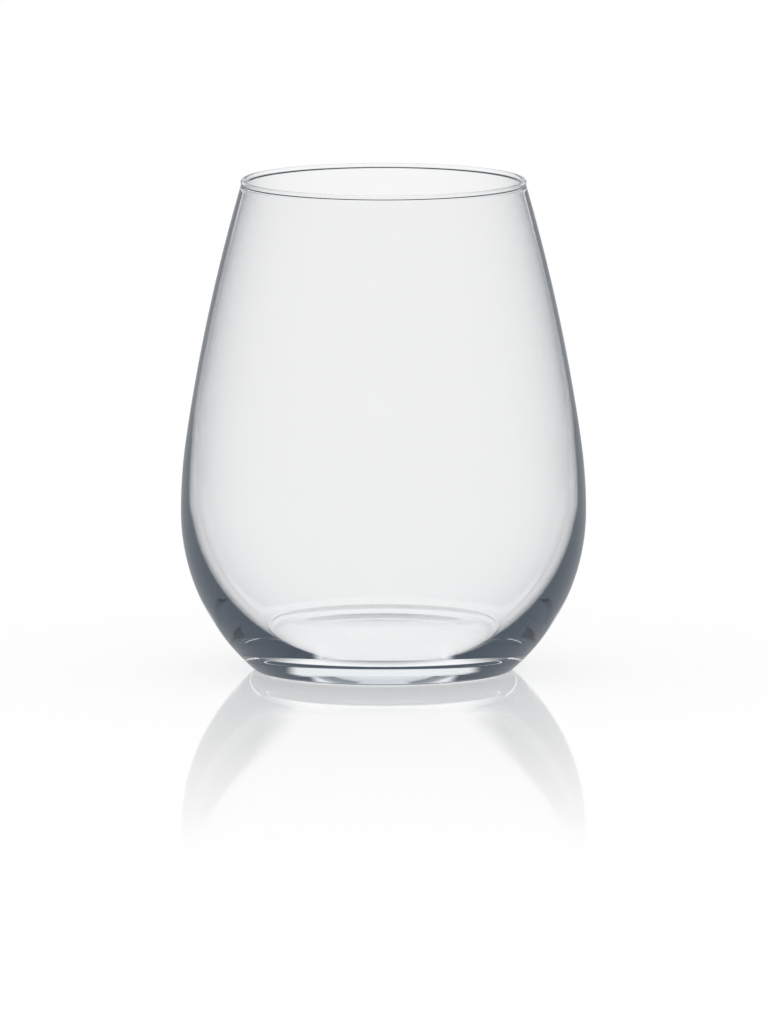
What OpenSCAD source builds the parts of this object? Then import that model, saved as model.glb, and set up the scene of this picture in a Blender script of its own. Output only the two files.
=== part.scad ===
// Stemless water tumbler of clear blown glass: a solid base, a round belly, and a
// thin side that draws in to a narrower mouth with a fire-polished bead.
// The glass is one piece, drawn as four zones that meet on flat rings.
// Millimetres. The origin is the centre of the foot at table height, with +Z up.

/* [Outside] */
// Height from the table to the top of the rim
height = 110; // [98:0.5:125]
// Outside diameter at the belly, the widest place
belly_d = 90.5; // [83:0.5:102]
// Height of the belly above the table
belly_z = 35.5; // [30:0.5:42]
// Diameter at which the round of the belly meets the table
foot_d = 57.5; // [48:0.5:66]
// Radius of the curve from the belly up to the shoulder
shoulder_r = 114; // [75:1:160]
// Radius of the long curve of the side, from the shoulder up to the rim
side_r = 420; // [280:10:900]
// Radius that rounds the heel, the lower outside edge
heel_r = 1.4; // [0.6:0.1:2.6]

/* [Rim] */
// Outside diameter across the bead
rim_d = 63.8; // [56:0.1:71]
// How far the bead stands out from the wall below it
bead_out = 0.3; // [0.1:0.05:0.6]
// How far the bead stands in from that wall
bead_in = 0.1; // [0.05:0.05:0.4]
// Height of the rim zone, from its joint with the side to the top
rim_h = 3; // [2.4:0.1:6]

/* [Glass thickness] */
// Thickness of the side wall
wall = 0.75; // [0.65:0.05:1.2]
// Height above the shoulder at which the wall starts to thicken downwards
thin_rise = 10; // [4:0.5:20]
// Thickness of the wall at the hollow's widest place
belly_t = 1.55; // [1.2:0.05:2.2]
// How far the hollow draws in from its widest place before it turns to the floor
corner_in = 12; // [9:0.25:14]
// Radius of that turn
corner_r = 7; // [5:0.5:11]
// Radius of the faintly dished floor
dish_r = 1500; // [500:50:3000]
// Thickness of the glass under the middle of the floor, from the table
base_t = 5.7; // [4.5:0.1:8.5]

/* [Foot] */
// Diameter of the shallow hollow under the foot
punt_d = 42; // [30:0.5:50]
// Depth of that hollow
punt_h = 0.2; // [0.1:0.05:0.6]

/* [Zones] */
// Height of the joint between the base and the belly, above the inside floor
base_joint = 6; // [4:0.5:9]

/* [Hidden] */
glass = [0.86, 0.92, 0.93, 0.45];
// How far a chord of a drawn curve may lie from its arc
curve_tol = 0.01;
round_fn = 180;

// The direction from one point to another, in degrees from the +X side
function toward(a, b) = atan2(b.y - a.y, b.x - a.x);
// The point at distance r from c in direction a
function polar(c, r, a) = c + r * [cos(a), sin(a)];
// The point that lies ra from a and rb from b, to the left of the way from a to b
function meet(a, ra, b, rb) =
  let (d = norm(b - a), x = (ra * ra - rb * rb + d * d) / (2 * d))
  polar(polar(a, x, toward(a, b)), sqrt(ra * ra - x * x), toward(a, b) + 90);
// Points along an arc about c from direction a to direction b, without its first point
function arc(c, r, a, b) =
  let (n = ceil(abs(b - a) / (2 * acos(1 - curve_tol / r))))
  [for (i = [1:n]) polar(c, r, a + (b - a) * i / n)];

// Outside: heel, lower round, shoulder and side, each an arc that touches the next
belly_r = belly_d / 2;
foot_in = belly_r - foot_d / 2;
lower_r = (foot_in * foot_in + belly_z * belly_z) / (2 * foot_in);
lower_c = [belly_r - lower_r, belly_z];
heel_c = [lower_c.x + sqrt(pow(lower_r - heel_r, 2) - pow(belly_z - heel_r, 2)), heel_r];
heel_a = toward(lower_c, heel_c);
bead_d = wall + bead_out + bead_in;
rim_z = height - bead_d / 2;
rim_top = [rim_d / 2 - bead_out, rim_z];
shoulder_c = [belly_r - shoulder_r, belly_z];
side_c = meet(shoulder_c, side_r - shoulder_r, rim_top, side_r);
shoulder_a = toward(side_c, shoulder_c);

// Hollow: the side keeps the wall's thickness down to thin_z, then come an arc to the widest
// place, the bowl below it, the turn to the floor and the dished floor
inner_r = side_r - wall;
thin_z = polar(side_c, side_r, shoulder_a).y + thin_rise;
thin_a = asin((thin_z - side_c.y) / inner_r);
mouth_a = asin((rim_z - side_c.y) / inner_r);
wide_r = belly_r - belly_t;
hollow_r = (wide_r - polar(side_c, inner_r, thin_a).x) / (1 - cos(thin_a));
hollow_c = [wide_r - hollow_r, thin_z - hollow_r * sin(thin_a)];
dish_c = [0, base_t + dish_r];
corner_x = wide_r - corner_in - corner_r;
corner_c = [corner_x, dish_c.y - sqrt(pow(dish_r - corner_r, 2) - corner_x * corner_x)];
bowl_r = corner_in / 2 + corner_r + pow(hollow_c.y - corner_c.y, 2) / (2 * corner_in);
bowl_c = [wide_r - bowl_r, hollow_c.y];
bowl_a = toward(bowl_c, corner_c);
floor_a = toward(dish_c, corner_c);

// Foot: a shallow dome hollows it, so that it stands on a ring
punt_r = (punt_d * punt_d / 4 + punt_h * punt_h) / (2 * punt_h);
punt_c = [0, punt_h - punt_r];

// Half section of the glass without its bead, round from the axis under the foot
outline = concat(
  [[0, punt_h]],
  arc(punt_c, punt_r, 90, toward(punt_c, [punt_d / 2, 0])),
  [[heel_c.x, 0]],
  arc(heel_c, heel_r, -90, heel_a),
  arc(lower_c, lower_r, heel_a, 0),
  arc(shoulder_c, shoulder_r, 0, shoulder_a),
  arc(side_c, side_r, shoulder_a, toward(side_c, rim_top)),
  [polar(side_c, inner_r, mouth_a)],
  arc(side_c, inner_r, mouth_a, thin_a),
  arc(hollow_c, hollow_r, thin_a, 0),
  arc(bowl_c, bowl_r, 0, bowl_a),
  arc(corner_c, corner_r, bowl_a, floor_a),
  arc(dish_c, dish_r, floor_a, -90)
);

// The glass between two heights, turned about the axis
module zone(low, high) {
  color(glass)
  rotate_extrude($fn = round_fn)
  intersection() {
    union() {
      polygon(outline);
      translate([(rim_d - bead_d) / 2, rim_z]) circle(d = bead_d, $fn = round_fn);
    }
    translate([0, low]) square([belly_d, high - low]);
  }
}

base_top = base_t + base_joint;
rim_joint = height - rim_h;

module heavy_base() { zone(0, base_top); }
module belly_wall() { zone(base_top, thin_z); }
module side_wall() { zone(thin_z, rim_joint); }
module rim_bead() { zone(rim_joint, height); }

heavy_base();
belly_wall();
side_wall();
rim_bead();
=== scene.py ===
import math

import bpy
import numpy as np
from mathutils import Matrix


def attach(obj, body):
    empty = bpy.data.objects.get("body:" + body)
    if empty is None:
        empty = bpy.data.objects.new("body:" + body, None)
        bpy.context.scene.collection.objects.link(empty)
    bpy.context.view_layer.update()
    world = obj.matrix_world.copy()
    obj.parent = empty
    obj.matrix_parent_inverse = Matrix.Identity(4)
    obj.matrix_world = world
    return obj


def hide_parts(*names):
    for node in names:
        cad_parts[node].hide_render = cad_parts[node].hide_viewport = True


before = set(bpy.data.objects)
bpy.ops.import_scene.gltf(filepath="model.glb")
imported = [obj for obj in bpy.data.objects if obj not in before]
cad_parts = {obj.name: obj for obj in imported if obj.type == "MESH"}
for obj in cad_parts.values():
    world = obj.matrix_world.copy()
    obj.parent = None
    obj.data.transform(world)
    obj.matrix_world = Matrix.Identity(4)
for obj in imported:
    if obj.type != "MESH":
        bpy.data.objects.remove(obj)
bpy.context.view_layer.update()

# Stemless water tumbler: one turned piece of clear glass on a white table.
# The glass repeats the CAD model's section, in millimetres; +Z is up and the foot stands at zero.
MM = 0.001
DEGREE = math.radians(1.0)

# Outside of the glass: its height, the belly's radius and height, the radius at which the round of
# the belly would meet the table, and the radii of the curves of shoulder, side and heel
HEIGHT = 110.0
BELLY_R = 45.25
BELLY_Z = 35.5
FOOT_R = 28.75
SHOULDER_R = 114.0
SIDE_R = 420.0
HEEL_R = 1.4

# Rim: its outside radius, how far the bead stands out from and in from the wall, and the radius of
# the fillet under it
RIM_R = 31.9
BEAD_OUT = 0.3
BEAD_IN = 0.1
NECK_R = 0.5

# Thickness of the glass: the side wall, the height above the shoulder at which it starts to thicken,
# the wall at the hollow's widest place, how far the bowl draws in before the turn to the floor, the
# radii of that turn and of the dished floor, and the base under the floor's middle
WALL = 0.75
THIN_RISE = 10.0
BELLY_T = 1.55
CORNER_IN = 12.0
CORNER_R = 7.0
DISH_R = 1500.0
BASE_T = 5.7

# Shallow hollow under the foot: its radius and depth
PUNT_R = 21.0
PUNT_H = 0.2

# Fineness of the mesh: points round the axis, the turn and length of a step along the section, and
# steps across the ring that the foot stands on
ROUND = 288
STEP_TURN = 3.0 * DEGREE
STEP_LENGTH = 1.4
RING_STEPS = 5

# Unevenness of the blown hollow: how far its wall and its floor move, and the waves. A wave has its
# share, its number round the axis, its lean in radians a millimetre of height, and its start
WALL_RIPPLE = 0.02
FLOOR_RIPPLE = 0.03
RIPPLES = ((0.5, 2, 0.045, 0.4), (0.3, 3, -0.060, 2.1), (0.2, 7, 0.110, 4.0))

# Glass: its refraction, the tint and roughness of smears and the noise value above which they are
# rough, the relief of the surface, the tint of its shadow, and the tint and density of its depth
GLASS_IOR = 1.52
SMEAR_SCALE = 24.0
SMEAR_DETAIL = 3.0
SMEAR_TINT = (0.995, 0.996, 0.996, 1.0)
SMEAR_EDGE = 0.62
SMEAR_ROUGHNESS = 0.004
SWELL_SCALE = 55.0
SWELL_DETAIL = 1.0
SWELL_STRENGTH = 0.04
SWELL_DEPTH = 0.2
SHADOW_TINT = (0.945, 0.950, 0.955, 1.0)
DEPTH_TINT = (0.62, 0.78, 0.88, 1.0)
DEPTH_DENSITY = 4.0

# Table: half its size in metres, the air under the foot, its matt tone and its own glow, which add
# up to white, and the polish of its surface
TABLE_HALF = 20.0
CONTACT = 0.2
TABLE_TONE = (0.70, 0.70, 0.70, 1.0)
TABLE_GLOW = 0.30
TABLE_ROUGHNESS = 0.03
TABLE_IOR = 1.45

# Mirror image on the table: its strength at the foot, and how far from the axis it ends
IMAGE_TONE = 0.75
IMAGE_END = 340.0

# Studio as light sees it that the glass has mirrored: the tone of its dark parts, and the share of
# white that an outer face of the glass still mirrors from them
WHITE = (1.0, 1.0, 1.0, 1.0)
FLAG_COLOUR = (0.064, 0.081, 0.104, 1.0)
FACE_WHITE = 0.4

# Below, a pair gives where white is full and where it has ended.
# White wedge of the table, for light mirrored inside the glass: how much it widens backwards, half
# its width, its front edge, and the most turns after which light still sees it
WEDGE = 0.1
WHITE_HALF = (16.0, 30.0)
WHITE_FRONT = (-21.0, -33.0)
TABLE_TURNS = 2

# White strip of the table behind the glass, for light mirrored by an outer face
STRIP_HALF = (45.0, 55.0)
STRIP_NEAR = (45.0, 30.0)
STRIP_FAR = (80.0, 110.0)

# White screen behind the glass, for light mirrored inside it, in degrees to either side and up, and
# the most turns after which light still sees it
SCREEN_HALF = (24.0, 30.0)
SCREEN_TOP = (71.0, 79.0)
SCREEN_TURNS = 6

# Low white patch behind the glass, for light mirrored by an outer face, in degrees
PATCH_HALF = (6.0, 12.0)
PATCH_TOP = (16.0, 22.0)

# Dark ceiling for light straight through one wall: full at the first angle of rise, in degrees
CEILING = (20.0, 12.0)

# Camera: its distance from the axis, its height above the rim as a share of that, the photograph's
# scale in millimetres a pixel, its size, where the axis and the foot lie in it, and the sensor
CAMERA_FAR = 6000.0
RIM_RATIO = 0.117
PIXEL = 0.2235
FRAME_WIDE = 768.0
FRAME_TALL = 1024.0
AXIS_PIXEL = 383.5
FOOT_PIXEL = 668.1
SENSOR = 36.0
CLIP_END = 100.0

# Light trapped in the glass turns many times before it leaves, and would end black if cut short
MOST_BOUNCES = 160
MIRROR_BOUNCES = 140
THROUGH_BOUNCES = 24


def toward(a, b):
    """Direction from point a to point b, as an angle from the +X side."""
    return math.atan2(b[1] - a[1], b[0] - a[0])


def polar(centre, radius, angle):
    """The point at a distance and direction from a centre."""
    return np.array([centre[0] + radius * math.cos(angle), centre[1] + radius * math.sin(angle)])


def meet(a, a_far, b, b_far):
    """The point that lies a_far from a and b_far from b, to the left of the way from a to b."""
    gap = math.dist(a, b)
    along = (a_far**2 - b_far**2 + gap**2) / (2 * gap)
    way = toward(a, b)
    return polar(polar(a, along, way), math.sqrt(a_far**2 - along**2), way + math.pi / 2)


def arc(centre, radius, start, end):
    """Centre plus radius times (cos, sin) of even angles from start to end, without the first."""
    turn = abs(end - start)
    steps = max(2, math.ceil(max(turn / STEP_TURN, turn * radius / STEP_LENGTH)))
    angle = np.linspace(start, end, steps + 1)[1:, None]
    return np.asarray(centre) + radius * np.hstack([np.cos(angle), np.sin(angle)])


def glass_section():
    """Half section of the glass: from the axis under the foot, up the outside, over the bead and
    down the hollow to the axis.

    Each stretch is an arc that touches the next, apart from the flat ring of the foot.
    Returns the points (radius, height), and which of them are inside.
    """
    foot_in = BELLY_R - FOOT_R
    lower_r = (foot_in**2 + BELLY_Z**2) / (2 * foot_in)
    lower_c = (BELLY_R - lower_r, BELLY_Z)
    heel_out = math.sqrt((lower_r - HEEL_R) ** 2 - (BELLY_Z - HEEL_R) ** 2)
    heel_c = (lower_c[0] + heel_out, HEEL_R)
    heel_a = toward(lower_c, heel_c)
    bead_r = (WALL + BEAD_OUT + BEAD_IN) / 2
    rim_z = HEIGHT - bead_r
    rim_top = (RIM_R - BEAD_OUT, rim_z)
    shoulder_c = (BELLY_R - SHOULDER_R, BELLY_Z)
    side_c = meet(shoulder_c, SIDE_R - SHOULDER_R, rim_top, SIDE_R)
    shoulder_a = toward(side_c, shoulder_c)
    bead_c = (RIM_R - bead_r, rim_z)
    neck_c = meet(bead_c, bead_r + NECK_R, side_c, SIDE_R + NECK_R)

    inner_r = SIDE_R - WALL
    mouth = meet(bead_c, bead_r, side_c, inner_r)
    thin_z = polar(side_c, SIDE_R, shoulder_a)[1] + THIN_RISE
    thin_a = math.asin((thin_z - side_c[1]) / inner_r)
    wide_r = BELLY_R - BELLY_T
    hollow_r = (wide_r - polar(side_c, inner_r, thin_a)[0]) / (1 - math.cos(thin_a))
    hollow_c = (wide_r - hollow_r, thin_z - hollow_r * math.sin(thin_a))
    dish_c = (0.0, BASE_T + DISH_R)
    corner_x = wide_r - CORNER_IN - CORNER_R
    corner_c = (corner_x, dish_c[1] - math.sqrt((DISH_R - CORNER_R) ** 2 - corner_x**2))
    bowl_r = CORNER_IN / 2 + CORNER_R + (hollow_c[1] - corner_c[1]) ** 2 / (2 * CORNER_IN)
    bowl_c = (wide_r - bowl_r, hollow_c[1])
    bowl_a = toward(bowl_c, corner_c)
    floor_a = toward(dish_c, corner_c)
    punt_r = (PUNT_R**2 + PUNT_H**2) / (2 * PUNT_H)
    punt_c = (0.0, PUNT_H - punt_r)

    outside = [
        [[0.0, PUNT_H]],
        arc(punt_c, punt_r, math.pi / 2, toward(punt_c, (PUNT_R, 0.0))),
        np.linspace((PUNT_R, 0.0), (heel_c[0], 0.0), RING_STEPS + 1)[1:],
        arc(heel_c, HEEL_R, -math.pi / 2, heel_a),
        arc(lower_c, lower_r, heel_a, 0.0),
        arc(shoulder_c, SHOULDER_R, 0.0, shoulder_a),
        arc(side_c, SIDE_R, shoulder_a, toward(side_c, neck_c)),
        arc(neck_c, NECK_R, toward(neck_c, side_c), toward(neck_c, bead_c) - 2 * math.pi),
        arc(bead_c, bead_r, toward(bead_c, neck_c), toward(bead_c, mouth) % (2 * math.pi)),
    ]
    hollow = [
        arc(side_c, inner_r, toward(side_c, mouth), thin_a),
        arc(hollow_c, hollow_r, thin_a, 0.0),
        arc(bowl_c, bowl_r, 0.0, bowl_a),
        arc(corner_c, CORNER_R, bowl_a, floor_a),
        arc(dish_c, DISH_R, floor_a, -math.pi / 2),
    ]
    rows = sum(len(stretch) for stretch in outside)
    points = np.concatenate(outside + hollow)
    return points, np.arange(len(points)) >= rows


def ripples(turn, height):
    """Slow waves round the axis that lean with height: a sum of sines of the angle, from -1 to 1."""
    return sum(
        share * np.sin(number * turn + lean * height + start)
        for share, number, lean, start in RIPPLES
    )


def mesh_piece(name, verts, faces):
    """A smooth mesh object at the origin, from an array of points and a list of faces."""
    mesh = bpy.data.meshes.new(name)
    mesh.from_pydata(verts.tolist(), [], faces)
    mesh.shade_smooth()
    piece = bpy.data.objects.new(name, mesh)
    bpy.context.scene.collection.objects.link(piece)
    return piece


def turned_glass(name, points, inside):
    """A lathe: each section point (r, z) goes round the axis as (r cos t, r sin t, z), t over a turn.

    Points inside move by the ripples: the wall in and out, less towards the rim, and the floor up
    and down, by r squared, so that the middle stays still. The two ends of the section are single
    points on the axis, closed by fans.
    """
    ring, ends = points[1:-1], points[[0, -1]]
    turn = np.arange(ROUND) * 2 * math.pi / ROUND
    wave = ripples(turn[None, :], ring[:, 1:])
    floor = np.clip(1 - (ring[:, 1:] - BASE_T) / CORNER_R, 0, 1) * inside[1:-1, None]
    wall = (1 - floor) * inside[1:-1, None]
    top = np.clip((HEIGHT - ring[:, 1:]) / (HEIGHT - BELLY_Z), 0, 1)
    radius = ring[:, :1] + WALL_RIPPLE * wave * wall * top
    height = ring[:, 1:] + FLOOR_RIPPLE * wave * floor * (ring[:, :1] / FOOT_R) ** 2
    grid = np.stack([radius * np.cos(turn), radius * np.sin(turn), height], axis=2)
    tips = np.stack([np.zeros(2), np.zeros(2), ends[:, 1]], axis=1)
    verts = np.concatenate([grid.reshape(-1, 3), tips]) * MM

    rows = len(ring)
    row = np.arange(rows - 1)[:, None] * ROUND
    here = np.arange(ROUND)
    beside = (here + 1) % ROUND
    above = row + ROUND
    quads = np.stack([row + here, row + beside, above + beside, above + here], axis=2)
    first_tip = rows * ROUND
    last_row = first_tip - ROUND
    under = np.stack([np.full(ROUND, first_tip), beside, here], axis=1)
    over = np.stack([np.full(ROUND, first_tip + 1), last_row + here, last_row + beside], axis=1)
    faces = quads.reshape(-1, 4).tolist() + under.tolist() + over.tolist()
    return mesh_piece(name, verts, faces)


class Wire:
    """A node's output socket that takes part in Python sums: an operator adds one Math node."""

    def __init__(self, socket):
        self.socket = socket

    @classmethod
    def node(cls, tree, kind, settings=None, inputs=None, output=0):
        """A node of that type. Its settings come first, then each input gets its value or link."""
        made = tree.nodes.new(kind)
        for name, value in (settings or {}).items():
            setattr(made, name, value)
        for name, value in (inputs or {}).items():
            if isinstance(value, Wire):
                tree.links.new(value.socket, made.inputs[name])
            else:
                made.inputs[name].default_value = value
        return cls(made.outputs[output]) if made.outputs else None

    def other(self, output):
        """Another output of the same node."""
        return Wire(self.socket.node.outputs[output])

    def maths(self, operation, *values):
        """A Math node in this socket's tree, on the values in their order."""
        settings = {"operation": operation}
        return Wire.node(self.socket.id_data, "ShaderNodeMath", settings, dict(enumerate(values)))

    def __add__(self, value):
        return self.maths("ADD", self, value)

    __radd__ = __add__

    def __mul__(self, value):
        return self.maths("MULTIPLY", self, value)

    __rmul__ = __mul__

    def __sub__(self, value):
        return self.maths("SUBTRACT", self, value)

    def __rsub__(self, value):
        return self.maths("SUBTRACT", value, self)

    def __gt__(self, value):
        return self.maths("GREATER_THAN", self, value)

    def __abs__(self):
        return self.maths("ABSOLUTE", self)

    def over(self, count):
        """1 where the value, a whole number, is more than the count, and 0 elsewhere."""
        return self > count + 0.5

    def blend(self, none, full):
        """The colour none where the value is 0, full where it is 1, and a mix between."""
        settings = {"data_type": "RGBA"}
        inputs = {"Factor": self, "A": none, "B": full}
        return Wire.node(self.socket.id_data, "ShaderNodeMix", settings, inputs, "Result")

    def fade(self, span, unit):
        """1 where the value is at the span's first number of units, 0 at its second, and smooth
        between."""
        full, none = span
        settings = {"interpolation_type": "SMOOTHSTEP"}
        inputs = {"Value": self, "From Min": none * unit, "From Max": full * unit}
        return Wire.node(self.socket.id_data, "ShaderNodeMapRange", settings, inputs)


def empty_material(name):
    """A new material without nodes, and its tree."""
    material = bpy.data.materials.new(name)
    material.use_nodes = True
    material.node_tree.nodes.clear()
    return material, material.node_tree


def noise(tree, place, scale, detail):
    """Soft noise from 0 to 1 over a place, with so many lumps a metre and so many finer layers."""
    inputs = {"Vector": place, "Scale": scale, "Detail": detail}
    return Wire.node(tree, "ShaderNodeTexNoise", None, inputs)


def clear_glass():
    """Fire-polished glass: a faint swell in its surface, faint smears in its polish, and a slate
    tint in depth. Its shadow is that of thin clear glass."""
    material, tree = empty_material("clear_glass")
    place = Wire.node(tree, "ShaderNodeTexCoord", output="Object")
    swell = noise(tree, place, SWELL_SCALE, SWELL_DETAIL)
    smears = noise(tree, place, SMEAR_SCALE, SMEAR_DETAIL)
    relief = Wire.node(
        tree,
        "ShaderNodeBump",
        None,
        {"Strength": SWELL_STRENGTH, "Distance": SWELL_DEPTH * MM, "Height": swell},
    )
    glass = Wire.node(
        tree,
        "ShaderNodeBsdfPrincipled",
        None,
        {
            "Base Color": smears.blend(SMEAR_TINT, WHITE),
            "Roughness": (smears > SMEAR_EDGE) * SMEAR_ROUGHNESS,
            "IOR": GLASS_IOR,
            "Transmission Weight": 1.0,
            "Normal": relief,
        },
    )
    shadow = Wire.node(tree, "ShaderNodeLightPath", output="Is Shadow Ray")
    through = Wire.node(tree, "ShaderNodeBsdfTransparent", None, {"Color": SHADOW_TINT})
    surface = Wire.node(tree, "ShaderNodeMixShader", None, {0: shadow, 1: glass, 2: through})
    tinted = {"Color": DEPTH_TINT, "Density": DEPTH_DENSITY}
    depth = Wire.node(tree, "ShaderNodeVolumeAbsorption", None, tinted)
    Wire.node(tree, "ShaderNodeOutputMaterial", None, {"Surface": surface, "Volume": depth})
    return material


def mirrored_rays(tree, turns):
    """Three masks: rays mirrored inside the glass, rays mirrored so many times at most, and rays
    mirrored by an outer face."""
    rays = Wire.node(tree, "ShaderNodeLightPath", output="Glossy Depth")
    mirrored = rays.over(0)
    through = rays.other("Transmission Depth").over(0)
    return mirrored * through, 1 - rays.over(turns), mirrored * (1 - through)


def one_wall_rays(tree):
    """A mask: rays bent by one or two faces of the glass, which is one wall, and not mirrored."""
    rays = Wire.node(tree, "ShaderNodeLightPath", output="Glossy Depth")
    faces = rays.other("Transmission Depth")
    return faces.over(0) * (1 - faces.over(2)) * (1 - rays.over(0))


def white_table():
    """White for the camera, with the glass's shadow and a mirror image that fades away from the foot.

    For other rays the table glows white, unless the glass has mirrored them. Mirrored inside it,
    they see white only in a wedge from the foot backwards, after a few turns at most, and dark
    elsewhere. Mirrored by an outer face, they see white in a strip behind it, and grey elsewhere.
    """
    material, tree = empty_material("white_table")
    place = Wire.node(tree, "ShaderNodeTexCoord", output="Object")
    x = Wire.node(tree, "ShaderNodeSeparateXYZ", None, {"Vector": place}, "X")
    y = x.other("Y")
    spread = abs(x) - WEDGE * y.maths("MAXIMUM", y, 0.0)
    wedge = spread.fade(WHITE_HALF, MM) * y.fade(WHITE_FRONT, MM)
    strip = abs(x).fade(STRIP_HALF, MM) * y.fade(STRIP_NEAR, MM) * y.fade(STRIP_FAR, MM)
    inside, shallow, outside = mirrored_rays(tree, TABLE_TURNS)
    dark = inside * (1 - wedge * shallow) + outside * (1 - strip) * (1 - FACE_WHITE)
    tone = dark.blend(WHITE, FLAG_COLOUR)
    glow = Wire.node(tree, "ShaderNodeEmission", None, {"Color": tone})
    matt = Wire.node(tree, "ShaderNodeBsdfDiffuse", None, {"Color": TABLE_TONE})
    lift = Wire.node(tree, "ShaderNodeEmission", None, {"Strength": TABLE_GLOW})
    lit = Wire.node(tree, "ShaderNodeAddShader", None, {0: matt, 1: lift})
    polish = {"Color": WHITE, "Roughness": TABLE_ROUGHNESS}
    shine = Wire.node(tree, "ShaderNodeBsdfGlossy", None, polish)
    away = x.maths("SQRT", x * x + y * y)
    graze = Wire.node(tree, "ShaderNodeFresnel", None, {"IOR": TABLE_IOR})
    image = away.fade((FOOT_R, IMAGE_END), MM) * graze * IMAGE_TONE
    polished = Wire.node(tree, "ShaderNodeMixShader", None, {0: image, 1: lit, 2: shine})
    camera = Wire.node(tree, "ShaderNodeLightPath", output="Is Camera Ray")
    surface = Wire.node(tree, "ShaderNodeMixShader", None, {0: camera, 1: glow, 2: polished})
    Wire.node(tree, "ShaderNodeOutputMaterial", None, {"Surface": surface})
    return material


def studio():
    """White all round for the camera, and for light through more than one wall of the glass.

    Light up through one wall meets a dark ceiling. Light mirrored inside the glass sees a dark
    studio with a white screen behind the glass, if it hasn't turned too often. Light mirrored by an
    outer face sees a low white patch behind the glass, and grey elsewhere.
    """
    world = bpy.data.worlds.new("studio")
    bpy.context.scene.world = world
    world.use_nodes = True
    tree = world.node_tree
    tree.nodes.clear()
    way = Wire.node(tree, "ShaderNodeTexCoord", output="Generated")
    x = Wire.node(tree, "ShaderNodeSeparateXYZ", None, {"Vector": way}, "X")
    heading = abs(x.maths("ARCTAN2", x, x.other("Y")))
    rise = x.maths("ARCSINE", x.other("Z"))
    screen = heading.fade(SCREEN_HALF, DEGREE) * rise.fade(SCREEN_TOP, DEGREE)
    patch = heading.fade(PATCH_HALF, DEGREE) * rise.fade(PATCH_TOP, DEGREE)
    ceiling = one_wall_rays(tree) * rise.fade(CEILING, DEGREE)
    inside, shallow, outside = mirrored_rays(tree, SCREEN_TURNS)
    mirrored = inside * (1 - screen * shallow) + outside * (1 - patch) * (1 - FACE_WHITE)
    tone = (mirrored + ceiling).blend(WHITE, FLAG_COLOUR)
    light = Wire.node(tree, "ShaderNodeBackground", None, {"Color": tone})
    Wire.node(tree, "ShaderNodeOutputWorld", None, {"Surface": light})


def photo_camera():
    """A long lens above the rim, aimed so that the foot and the axis lie at the photograph's pixels."""
    data = bpy.data.cameras.new("camera")
    height = HEIGHT + RIM_RATIO * CAMERA_FAR
    away = math.hypot(height, CAMERA_FAR)
    above_foot = (FOOT_PIXEL - FRAME_TALL / 2) * PIXEL
    down = math.atan2(height, CAMERA_FAR) - math.atan2(above_foot, away)
    data.sensor_width = SENSOR
    data.lens = SENSOR * away / PIXEL / FRAME_TALL
    data.clip_end = CLIP_END
    camera = bpy.data.objects.new("camera", data)
    aside = (FRAME_WIDE / 2 - AXIS_PIXEL) * PIXEL
    camera.location = (aside * MM, -CAMERA_FAR * MM, height * MM)
    camera.rotation_euler = (math.pi / 2 - down, 0.0, 0.0)
    bpy.context.scene.collection.objects.link(camera)
    bpy.context.scene.camera = camera


tumbler = turned_glass("tumbler", *glass_section())
tumbler.data.materials.append(clear_glass())
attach(tumbler, "root")
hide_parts("heavy_base", "belly_wall", "side_wall", "rim_bead")

corners = np.array([[-1, -1], [1, -1], [1, 1], [-1, 1]]) * TABLE_HALF
table_top = np.column_stack([corners, np.full(4, -CONTACT * MM)])
table = mesh_piece("table", table_top, [[0, 1, 2, 3]])
table.data.materials.append(white_table())

studio()
photo_camera()

scene = bpy.context.scene
scene.view_settings.view_transform = "Standard"
scene.cycles.max_bounces = MOST_BOUNCES
scene.cycles.glossy_bounces = MIRROR_BOUNCES
scene.cycles.transmission_bounces = THROUGH_BOUNCES
